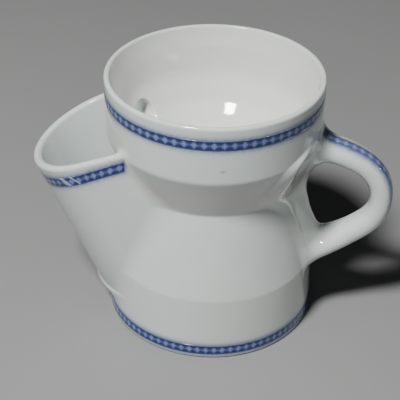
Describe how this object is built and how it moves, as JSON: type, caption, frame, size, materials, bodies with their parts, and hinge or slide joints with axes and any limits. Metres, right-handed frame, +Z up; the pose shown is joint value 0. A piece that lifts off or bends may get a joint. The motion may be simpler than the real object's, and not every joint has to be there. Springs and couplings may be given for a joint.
{
  "type": "scuttle shaving mug",
  "caption": "Glazed scuttle shaving mug: a soap bowl over a hot-water pot, with a half-round brush spout, a looped strap handle and printed borders.",
  "frame": {"origin": "on the axis of the round body, at the surface the foot ring stands on", "axes": "+Z up along the axis of the round body, +X towards the handle, -X towards the brush spout"},
  "size_m": [0.1335, 0.0784, 0.0982],
  "materials": {
    "white_glaze": "gloss",
    "base_glaze": "gloss",
    "blue_transfer": "gloss"
  },
  "bodies": {
    "root": {"soap_bowl": "white_glaze", "pot_wall": "white_glaze", "scuttle_spout": "white_glaze", "handle": "white_glaze", "base_disc": "base_glaze", "rim_border": "blue_transfer", "foot_border": "blue_transfer", "spout_border": "blue_transfer", "handle_border": "blue_transfer"}
  },
  "joints": []
}
